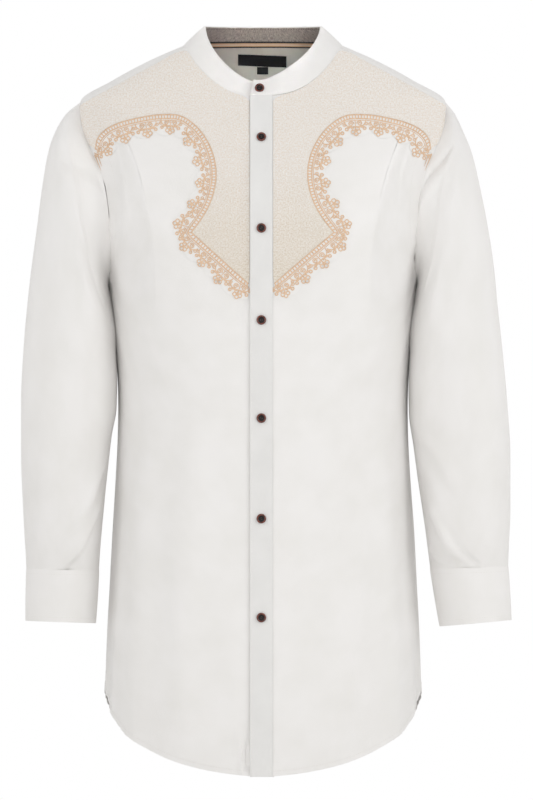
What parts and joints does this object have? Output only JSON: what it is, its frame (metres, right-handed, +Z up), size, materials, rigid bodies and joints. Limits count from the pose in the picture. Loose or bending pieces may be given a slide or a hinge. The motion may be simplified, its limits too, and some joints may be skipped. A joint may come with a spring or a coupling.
{
  "type": "koko shirt",
  "caption": "Long white band-collar shirt in worn form with no wearer, with cream chest panels, peach embroidered borders and a buttoned front.",
  "frame": {"origin": "middle of the neck, at the height where the shoulders carry the shirt", "axes": "+Z up, -Y is the front, +X is the wearer's left"},
  "size_m": [0.6116, 0.2857, 0.936],
  "materials": {
    "poplin": "smooth white cotton poplin",
    "chambray": "grey-taupe slubbed chambray",
    "tape": "cream woven tape with two black lines",
    "label_cloth": "bare black woven label",
    "panel_cloth": "cream crinkled cotton with a beige fleck",
    "embroidery": "peach rayon embroidery thread",
    "button": "dark brown polished resin with a raised rim"
  },
  "bodies": {
    "root": {"front_left": "poplin", "front_right": "poplin", "back": "poplin", "yoke": "poplin", "placket": "poplin", "button_stand": "poplin", "collar_band": "poplin", "collar_lining": "chambray", "neck_tape": "tape", "label": "label_cloth", "size_tab": "label_cloth", "sleeve_left": "poplin", "sleeve_right": "poplin", "sleeve_placket_left": "poplin", "sleeve_placket_right": "poplin", "cuff_left": "poplin", "cuff_right": "poplin", "chest_panel_left": "panel_cloth", "chest_panel_right": "panel_cloth", "border_left": "embroidery", "border_right": "embroidery", "button_1": "button", "button_2": "button", "button_3": "button", "button_4": "button", "button_5": "button", "button_6": "button", "button_7": "button", "cuff_button_left": "button", "cuff_button_right": "button"}
  },
  "joints": []
}
